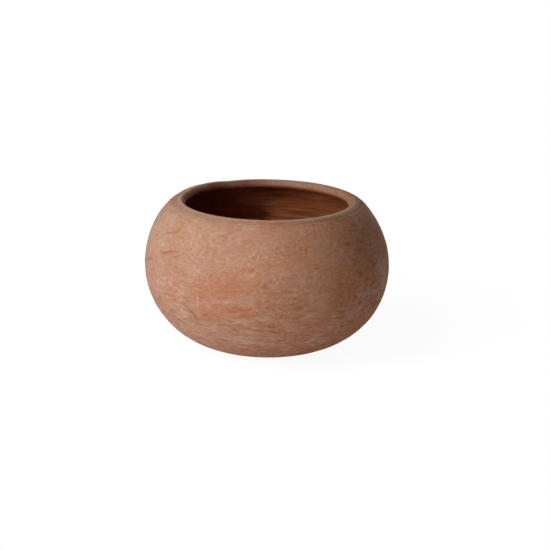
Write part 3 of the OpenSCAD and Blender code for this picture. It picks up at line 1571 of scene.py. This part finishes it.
    scrapes: tuple[Stroke, ...] = (
        Stroke(-58.0, 0.258, 0.036, 0.0024, 23, 0.5),
        Stroke(-53.0, 0.261, 0.008, 0.0022, 24, 0.6),
        Stroke(-20.6, 0.279, 0.032, 0.0020, 29, 0.5),
        Stroke(-52.2, 0.226, 0.040, 0.0030, 16, 0.5),
        Stroke(-47.5, 0.221, 0.007, 0.0026, 20, 0.5),
        Stroke(-71.5, 0.192, 0.026, 0.0030, 12, 0.5),
        Stroke(-4.5, 0.222, 0.014, 0.0012, 13, 0.5),
        Stroke(-6.4, 0.219, 0.007, 0.0016, 37, 0.4),
        Stroke(-35.8, 0.109, 0.022, 0.0042, -59, 0.6),
        Stroke(-41.0, 0.129, 0.018, 0.0020, -14, 0.45),
        Stroke(-34.2, 0.142, 0.031, 0.0019, -94, 0.45),
        Stroke(-17.7, 0.112, 0.009, 0.0018, -30, 0.6),
        Stroke(-25.4, 0.061, 0.028, 0.0022, 1, 0.7),
        Stroke(-60.9, 0.140, 0.0034, 0.0022, 10, 0.8),
        Stroke(-62.8, 0.199, 0.0060, 0.0026, 5, 0.6),
        Stroke(-56.0, 0.166, 0.0040, 0.0020, -20, 0.5),
        Stroke(-52.6, 0.160, 0.0040, 0.0020, -30, 0.5),
        Stroke(-45.3, 0.155, 0.0048, 0.0040, 0, 0.5),
        Stroke(-54.2, 0.139, 0.0056, 0.0040, 10, 0.45),
        Stroke(-49.3, 0.153, 0.0050, 0.0036, 0, 0.45),
        Stroke(-48.1, 0.134, 0.012, 0.0016, -12, 0.5),
        Stroke(23.1, 0.217, 0.010, 0.0018, 8, 0.7),
        Stroke(51.7, 0.256, 0.0028, 0.0024, 0, 0.9),
        Stroke(47.5, 0.216, 0.0024, 0.0022, 0, 0.8),
        Stroke(49.6, 0.209, 0.0040, 0.0020, -30, 0.8),
        Stroke(30.3, 0.225, 0.0022, 0.0020, 0, 0.7),
        Stroke(51.9, 0.141, 0.014, 0.0024, 16, 0.8),
        Stroke(37.2, 0.122, 0.011, 0.0036, -10, 0.5),
        Stroke(14.0, 0.112, 0.013, 0.0016, 2, 0.6),
        Stroke(16.0, 0.112, 0.0036, 0.0024, 10, 0.6),
        Stroke(3.1, 0.092, 0.013, 0.0018, -20, 0.8),
        Stroke(16.2, 0.070, 0.010, 0.0018, -6, 0.6),
        Stroke(14.0, 0.141, 0.017, 0.0018, -2, 0.5),
        Stroke(1.0, 0.160, 0.0030, 0.0020, 0, 0.7),
        Stroke(36.7, 0.125, 0.014, 0.0020, -2, 0.7),
        Stroke(35.0, 0.102, 0.017, 0.0018, 10, 0.6),
        Stroke(18.4, 0.135, 0.034, 0.0012, -4, 0.5),
        Stroke(19.3, 0.079, 0.024, 0.0016, -3, 0.6),
    )
    dabs: tuple[Stroke, ...] = (
        Stroke(-32.8, 0.152, 0.064, 0.0019, -91, 0.5),
        Stroke(-23.5, 0.103, 0.009, 0.0022, -16, 0.8),
        Stroke(-18.5, 0.151, 0.007, 0.0024, 4, 0.6),
        Stroke(14.1, 0.213, 0.048, 0.0014, 9, 0.3),
        Stroke(-4.0, 0.216, 0.006, 0.0020, 13, 0.6),
        Stroke(-56.0, 0.253, 0.016, 0.0014, 24, 0.35),
    )
    patches: tuple[Stroke, ...] = (
        Stroke(-18.5, 0.186, 0.062, 0.036, 4, 0.65),
        Stroke(-27.0, 0.120, 0.056, 0.030, 0, 0.65),
        Stroke(-50.5, 0.222, 0.036, 0.024, 10, 0.35),
        Stroke(-50.0, 0.150, 0.034, 0.022, 0, 0.6),
        Stroke(-3.5, 0.102, 0.034, 0.014, 0, 0.5),
        Stroke(-14.1, 0.137, 0.042, 0.012, 0, 1.0),
        Stroke(-13.0, 0.098, 0.034, 0.012, 0, 0.7),
        Stroke(-8.5, 0.128, 0.026, 0.013, 0, 0.6),
        Stroke(-8.6, 0.217, 0.026, 0.008, 14, 0.8),
        Stroke(-38.1, 0.119, 0.016, 0.009, -20, 0.9),
        Stroke(-3.0, 0.190, 0.036, 0.024, 0, 0.6),
        Stroke(-58.0, 0.220, 0.020, 0.008, 8, 0.5),
        Stroke(-30.0, 0.160, 0.060, 0.020, -6, 0.5),
        Stroke(12.0, 0.150, 0.040, 0.014, 4, 0.5),
    )
    pale_patches: tuple[Stroke, ...] = (
        Stroke(-14.0, 0.064, 0.050, 0.026, 0, 0.75),
        Stroke(2.0, 0.062, 0.044, 0.024, 0, 0.5),
        Stroke(28.0, 0.056, 0.044, 0.026, 0, 0.6),
        Stroke(35.0, 0.096, 0.030, 0.018, 0, 0.6),
        Stroke(46.0, 0.112, 0.038, 0.026, 0, 0.7),
        Stroke(50.0, 0.152, 0.040, 0.028, 0, 0.6),
        Stroke(66.0, 0.168, 0.050, 0.060, 0, 0.9),
        Stroke(-46.0, 0.104, 0.040, 0.028, -10, 0.6),
        Stroke(-40.0, 0.082, 0.026, 0.016, -10, 0.6),
        Stroke(-35.0, 0.198, 0.026, 0.022, 0, 0.8),
    )
    smears: tuple[Stroke, ...] = (Stroke(-174.0, 0.244, 0.070, 0.022, 0, 0.5),)
    red_smears: tuple[Stroke, ...] = (
        Stroke(163.6, 0.218, 0.046, 0.0050, 8, 0.7),
        Stroke(162.0, 0.218, 0.030, 0.0030, 8, 0.4),
    )

    def material(self) -> bpy.types.Material:
        """Builds the material.

        Returns:
            The material, for every clay section.
        """
        made = bpy.data.materials.new("fired terracotta")
        m = emptied(made)
        face = ClayFace(m, self.outline)
        outside, relief = self.outside(m, face)
        colour = m.mix(face.skin, self.inside(m, face), outside)
        bump = m.node("ShaderNodeBump", None, {"Strength": 1.0, "Distance": 1.0, "Height": relief})["Normal"]
        values = {
            "Base Color": colour,
            "Roughness": self.roughness,
            "Specular IOR Level": self.gloss,
            "Normal": bump,
        }
        shader = m.node("ShaderNodeBsdfPrincipled", None, values)
        m.node("ShaderNodeOutputMaterial", None, {"Surface": shader["BSDF"]})
        return made

    def outside(self, m: NodeMaker, face: ClayFace) -> tuple[Term, Term]:
        """Mixes the colour of the outside.

        Args:
            m: The maker of the material's tree.
            face: Where the point is.

        Returns:
            The colour, and the relief of the surface in metres.
        """
        wiped = m.rise(face.height, *self.wiped_z)
        marks = {
            Mark.ACROSS: face.across,
            Mark.CLOUDS: face.layer(self.clouds),
            Mark.DRIFTS: face.layer(self.drifts),
            Mark.STREAKS: face.layer(self.streaks),
            Mark.FIBRES: face.layer(self.fibres),
            Mark.GRAIN: self.grain.drawn(m, face.place) * face.layer(self.worked),
            Mark.FOOT: m.rise(face.height, *self.foot_z),
            Mark.PALE: face.struck(self.pale_patches, Skin.OUTSIDE),
        }
        # the bloom's share here holds painted light as well as real bloom: paler on the lit left, redder on
        # the shaded right
        colour = m.mix(self.bloom_and_painted_light.of(marks, wiped), tint(self.bare), tint(self.bloom))
        colour = m.mix(self.straw_share * face.layer(self.straw_parts), colour, tint(self.straw))
        colour = m.mix(self.rosy_share * face.layer(self.rosy_parts), colour, tint(self.rosy))
        # paler towards the upper left, in the lip's pale colour
        upper_left_pale = m.rise(face.across, *self.upper_left_pale_side) * m.rise(face.height, *self.upper_left_pale_z)
        colour = m.mix(self.upper_left_pale_share * upper_left_pale, colour, tint(self.lip_dust_and_light))
        rust = m.larger(face.layer(self.rust_parts), face.struck(self.patches, Skin.OUTSIDE))
        ragged = self.rust_level + self.rust_streaks * marks[Mark.STREAKS] + face.layer(self.ragged)
        colour = m.mix(self.rust_share * rust * ragged, colour, tint(self.rust))
        thin = face.layer(self.thin_marks) * face.layer(self.crowds) * m.at_least(self.least_thin, wiped)
        pits = self.pits.drawn(m, face.shaken)
        scrapes = face.struck(self.scrapes, Skin.OUTSIDE)
        mottled = face.layer(self.mottles) * m.rise(face.across, *self.mottled_side)
        pits = m.larger(self.pit_share * pits, self.mottle_share * mottled)
        pits = pits * (1.0 - self.calm * m.rise(face.across, *self.calm_side))
        dark = m.larger(m.larger(self.thin_share * thin, pits), self.scrape_share * scrapes)
        colour = m.mix(dark, colour, tint(self.scorched_and_groove_shade))
        dabs = face.struck(self.dabs, Skin.OUTSIDE)
        colour = m.mix(self.dab_share * dabs, colour, tint(self.worn_and_highlight))
        marks.update({Mark.DABS: dabs, Mark.THIN: thin, Mark.PITS: pits, Mark.SCRAPES: scrapes})
        relief = self.relief.of(marks, wiped)
        shade = self.shade.of(marks, wiped)
        return self.shaded(m, self.near_lip(m, face, colour), shade), relief

    def shaded(self, m: NodeMaker, colour: Term, shade: Term) -> Term:
        """Makes a colour darker and redder, or lighter and paler.

        Args:
            m: The maker of the material's tree.
            colour: The colour.
            shade: The share of red that it gains.

        Returns:
            The new colour.
        """
        red, green, blue = self.SHADES
        times = m.point(1.0 + red * shade, 1.0 + green * shade, 1.0 + blue * shade)
        return m.vector("MULTIPLY", colour, times)

    def near_lip(self, m: NodeMaker, face: ClayFace, colour: Term) -> Term:
        """Adds the wear line, dull band and turned lines round the lip, with painted highlight and shade.

        Args:
            m: The maker of the material's tree.
            face: Where the point is.
            colour: The colour of the outside.

        Returns:
            The new colour.
        """
        sizes = self.outline.sizes
        crest = self.outline.bare_edge() - sizes.lip_r * (self.outline.bare_from - math.pi / 2)
        high = m.rise(face.height, *self.dull_z)
        band = m.rise(face.radius, *self.dull_r) * m.rise(face.along, crest, crest - self.dull_reach)
        side = m.at_least(self.least_dull, m.rise(face.across, *self.dull_side))
        side = side + self.dull_left_share * m.rise(face.across, *self.dull_left_side)
        dull = high * band * side * face.layer(self.dull_parts)
        colour = m.mix(self.dull_share * dull, colour, tint(self.dull))
        # painted shade: the turned lines are darkened where their hollows are
        colour = m.mix(self.groove_shade_share * m.kept("groove"), colour, tint(self.scorched_and_groove_shade))
        # painted shade and light: the lip's inner roll, of duller clay, is painted darker on the left away
        # from the light and paler on the lit right
        rolled_in = m.rise(face.along, *(crest + past for past in self.rolled_in))
        rolled_in = rolled_in * (face.layer(self.rolled_parts) - self.left_lip_shade_gain * face.across)
        lip_lit = m.rise(face.across, *self.lip_light_side)
        colour = m.mix(rolled_in, colour, m.mix(lip_lit, tint(self.lip_shade), tint(self.lip_dust_and_light)))
        # painted highlight: the pale line just below the lip's crest is partly wear and partly a highlight,
        # painted strongest at the front
        near = m.at_least(self.least_worn, m.rise(face.deep, *self.highlight_deep))
        worn_and_highlight = m.bell(face.along, crest - self.worn_highlight_below, self.worn_highlight_width) * face.layer(self.worn_highlight_parts)
        return m.mix(self.worn_highlight_share * near * worn_and_highlight, colour, tint(self.worn_and_highlight))

    def inside(self, m: NodeMaker, face: ClayFace) -> Term:
        """Mixes the colour of the inside, with painted light on its lit side and painted shade under the lip.

        Args:
            m: The maker of the material's tree.
            face: Where the point is.

        Returns:
            The colour.
        """
        bands = face.layer(self.inside_bands)
        clouds = face.layer(self.inside_clouds)
        grain = self.inside_grain.drawn(m, face.place)
        # painted light: the lighter side inside stands for light falling in over the left of the lip; its
        # edge slants with height and wanders with the bands
        turned_away = self.turned_away * m.rise(face.height, *self.turned_away_z)
        wandering = face.across + self.band_wander * bands
        deep = m.rise(face.deep, *self.painted_light_deep)
        marks = {
            Mark.ACROSS: face.across,
            Mark.PAINTED_LIGHT: m.rise(wandering + turned_away, *self.painted_light_side) * deep,
            Mark.BANDS: bands,
            Mark.CLOUDS: clouds,
            Mark.GRAIN: grain,
            Mark.LOW: m.rise(face.height, *self.low_z),
        }
        colour = m.mix(self.inside_tone_and_painted_light.of(marks), tint(self.inside_deep), tint(self.inside_light))
        red = face.layer(self.red_marks) * face.layer(self.red_crowds)
        red = m.larger(red, face.struck(self.red_smears, Skin.INSIDE))
        colour = m.mix(self.red_share * red, colour, tint(self.inside_red))
        dust = face.struck(self.smears, Skin.INSIDE)
        colour = m.mix(self.dust_share * dust, colour, tint(self.inside_dust))
        # painted shade: the inside is darkened just under the lip, less so on the lit right
        in_light = self.under_lip_loss * m.rise(face.across, *self.under_lip_side)
        painted_shade_under_lip = m.rise(face.height, *self.under_lip_z) * (1.0 - in_light)
        # painted light: a lighter strip on the back wall inside, sharp at its left edge, stands for light
        # falling in past the lip
        lit_strip = m.rise(wandering, *self.lit_strip_side) * m.rise(face.across, *self.lit_strip_end_side)
        lit_strip = lit_strip * m.rise(face.height, *self.lit_strip_end_z) * m.rise(face.height, *self.lit_strip_z) * deep
        return self.shaded(m, colour, self.lit_strip_gain * lit_strip - self.under_lip_shade * painted_shade_under_lip)


# ---------------------------------------------------------------------------------------- stage


def toward(azimuth: float, elevation: float) -> Vector:
    """Gives the way from the pot to something that stands round it.

    Args:
        azimuth: Degrees from the front towards the right.
        elevation: Degrees above level.

    Returns:
        A vector of length 1.
    """
    turn, lift = math.radians(azimuth), math.radians(elevation)
    return Vector((math.sin(turn) * math.cos(lift), -math.cos(turn) * math.cos(lift), math.sin(lift)))


@dataclass(frozen=True)
class StudioFloor:
    """A plain pale floor that fades to white for the camera and keeps the pot's shadow."""

    half_width: float = 14.0
    paper: str = "#E6E6E6"
    seen_paper: str = "#767676"
    glow: float = 0.93
    glow_edge: float = 0.02
    fade: Span = (0.45, 0.95)
    pot_r: float = BowlSizes.foot_r

    def build(self) -> bpy.types.Object:
        """Lays the floor.

        Returns:
            The floor.
        """
        w = self.half_width
        mesh = bpy.data.meshes.new("floor")
        mesh.from_pydata([(-w, -w, 0), (w, -w, 0), (w, w, 0), (-w, w, 0)], [], [(0, 1, 2, 3)])
        floor = placed("floor", mesh)
        mesh.materials.append(self.material())
        return floor

    def material(self) -> bpy.types.Material:
        """Builds the floor's paper, which is near white to the camera and pale grey to the pot.

        Returns:
            The material.
        """
        made = bpy.data.materials.new("studio paper")
        m = emptied(made)
        place = m.node("ShaderNodeTexCoord")["Object"]
        away = m.node("ShaderNodeVectorMath", {"operation": "LENGTH"}, {"Vector": place})["Value"]
        far = m.rise(away, *self.fade)
        paper = m.node("ShaderNodeBsdfDiffuse", None, {"Color": tint(self.paper)})["BSDF"]
        white = m.node("ShaderNodeEmission", None, {"Strength": 1.0})["Emission"]
        clear = m.rise(away, self.pot_r - self.glow_edge, self.pot_r)
        glow = m.node("ShaderNodeEmission", None, {"Strength": self.glow * clear})["Emission"]
        shaded = m.node("ShaderNodeBsdfDiffuse", None, {"Color": tint(self.seen_paper)})["BSDF"]
        lit = m.node("ShaderNodeAddShader", None, {"Shader": shaded, "Shader_001": glow})["Shader"]
        seen = m.node("ShaderNodeMixShader", None, {"Fac": far, "Shader": lit, "Shader_001": white})["Shader"]
        path = m.node("ShaderNodeLightPath")
        to_eye = m.larger(path["Is Camera Ray"], path["Is Glossy Ray"])
        surface = m.node("ShaderNodeMixShader", None, {"Fac": to_eye, "Shader": paper, "Shader_001": seen})
        m.node("ShaderNodeOutputMaterial", None, {"Surface": surface["Shader"]})
        return made


@dataclass(frozen=True)
class SoftLamp:
    """A square soft box that faces the pot."""

    name: str
    azimuth: float
    elevation: float
    distance: float = 2.4
    width: float = 1.0
    watts: float = 10.0
    tone: tuple[float, float, float] = (1.0, 1.0, 1.0)

    def build(self) -> bpy.types.Object:
        """Hangs the lamp.

        Returns:
            The lamp.
        """
        out = toward(self.azimuth, self.elevation)
        light = bpy.data.lights.new(self.name, "AREA")
        light.size = self.width
        light.energy = self.watts
        light.color = self.tone
        lamp = placed(self.name, light)
        lamp.location = Vector(MIDDLE) + out * self.distance
        lamp.rotation_euler = (-out).to_track_quat("-Z", "Y").to_euler()
        return lamp


@dataclass(frozen=True)
class StudioLight:
    """The plain soft light of the studio: its lamps and the pale room round them."""

    lamps: tuple[SoftLamp, ...] = (
        SoftLamp("key lamp", azimuth=-60.0, elevation=30.0, watts=14.8),
        SoftLamp("upper key lamp", azimuth=-60.0, elevation=55.0, watts=12.8),
        SoftLamp("low front lamp", azimuth=-30.0, elevation=8.0, watts=10.6),
        SoftLamp("front lamp", azimuth=-30.0, elevation=30.0, watts=7.2),
        SoftLamp("back left lamp", azimuth=-120.0, elevation=55.0, watts=2.4),
        SoftLamp("back right lamp", azimuth=150.0, elevation=22.0, watts=11.5, tone=(0.80, 0.95, 1.0)),
        SoftLamp("low right lamp", azimuth=75.0, elevation=8.0, watts=3.6, tone=(0.80, 0.95, 1.0)),
    )
    room: float = 0.018

    def build(self) -> None:
        """Hangs the lamps and sets the room, which the camera sees as white."""
        for lamp in self.lamps:
            lamp.build()
        world = bpy.data.worlds.new("studio")
        bpy.context.scene.world = world
        m = emptied(world)
        path = m.node("ShaderNodeLightPath")
        seen = m.larger(path["Is Camera Ray"], path["Is Transmission Ray"])
        strength = self.room + seen * (1.0 - self.room)
        room = m.node("ShaderNodeBackground", None, {"Color": (1, 1, 1, 1), "Strength": strength})
        m.node("ShaderNodeOutputWorld", None, {"Surface": room["Background"]})


@dataclass(frozen=True)
class ProductCamera:
    """The camera, at the photograph's angle. Its image is taken to be frame_px pixels square."""

    frame_px: float = 550.0
    focal_px: float = 1701.6
    elevation: float = 16.0
    roll: float = 0.7
    distance: float = 3.5
    look_at: tuple[float, float, float] = MIDDLE
    look_at_px: tuple[float, float] = (266.95, 269.8)
    film: float = 36.0

    def build(self) -> bpy.types.Object:
        """Sets up the camera.

        Returns:
            The scene's camera.
        """
        out = toward(0.0, self.elevation)
        data = bpy.data.cameras.new("camera")
        data.sensor_width = self.film
        data.lens = self.film * self.focal_px / self.frame_px
        data.shift_x = 0.5 - self.look_at_px[0] / self.frame_px
        data.shift_y = self.look_at_px[1] / self.frame_px - 0.5
        camera = placed("camera", data)
        facing = (-out).to_track_quat("-Z", "Y").to_matrix()
        turned = facing @ Matrix.Rotation(math.radians(self.roll), 3, "Z")
        camera.matrix_world = Matrix.Translation(Vector(self.look_at) + out * self.distance) @ turned.to_4x4()
        bpy.context.scene.camera = camera
        return camera


def main() -> None:
    """Builds the camera, the pot's pieces and the studio."""
    logging.basicConfig(level=logging.INFO, format="%(name)s: %(message)s")
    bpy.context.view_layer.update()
    ProductCamera().build()
    outline = Outline(BowlSizes())
    clay = FiredTerracotta(outline).material()
    wheel = Wheel(ThrowingTree(ThrowingMarks()))
    sections = (
        FloorSlab(outline, "floor_slab", outside_spacing=0.0016, inside_spacing=0.0017),
        LowerWall(outline, "lower_wall", outside_spacing=0.0016, inside_spacing=0.0018),
        UpperWall(outline, "upper_wall", outside_spacing=0.0012, inside_spacing=0.0012),
        RimCoil(outline, "rim_coil", outside_spacing=0.0004, inside_spacing=0.0004),
    )
    for section in sections:
        piece = section.build(wheel, clay)
        triangles = sum(len(p.vertices) - 2 for p in piece.data.polygons)
        LOG.info("%s: %d triangles", piece.name, triangles)
    StudioFloor().build()
    StudioLight().build()
    bpy.context.scene.view_settings.view_transform = "Standard"


if __name__ == "__main__":
    main()
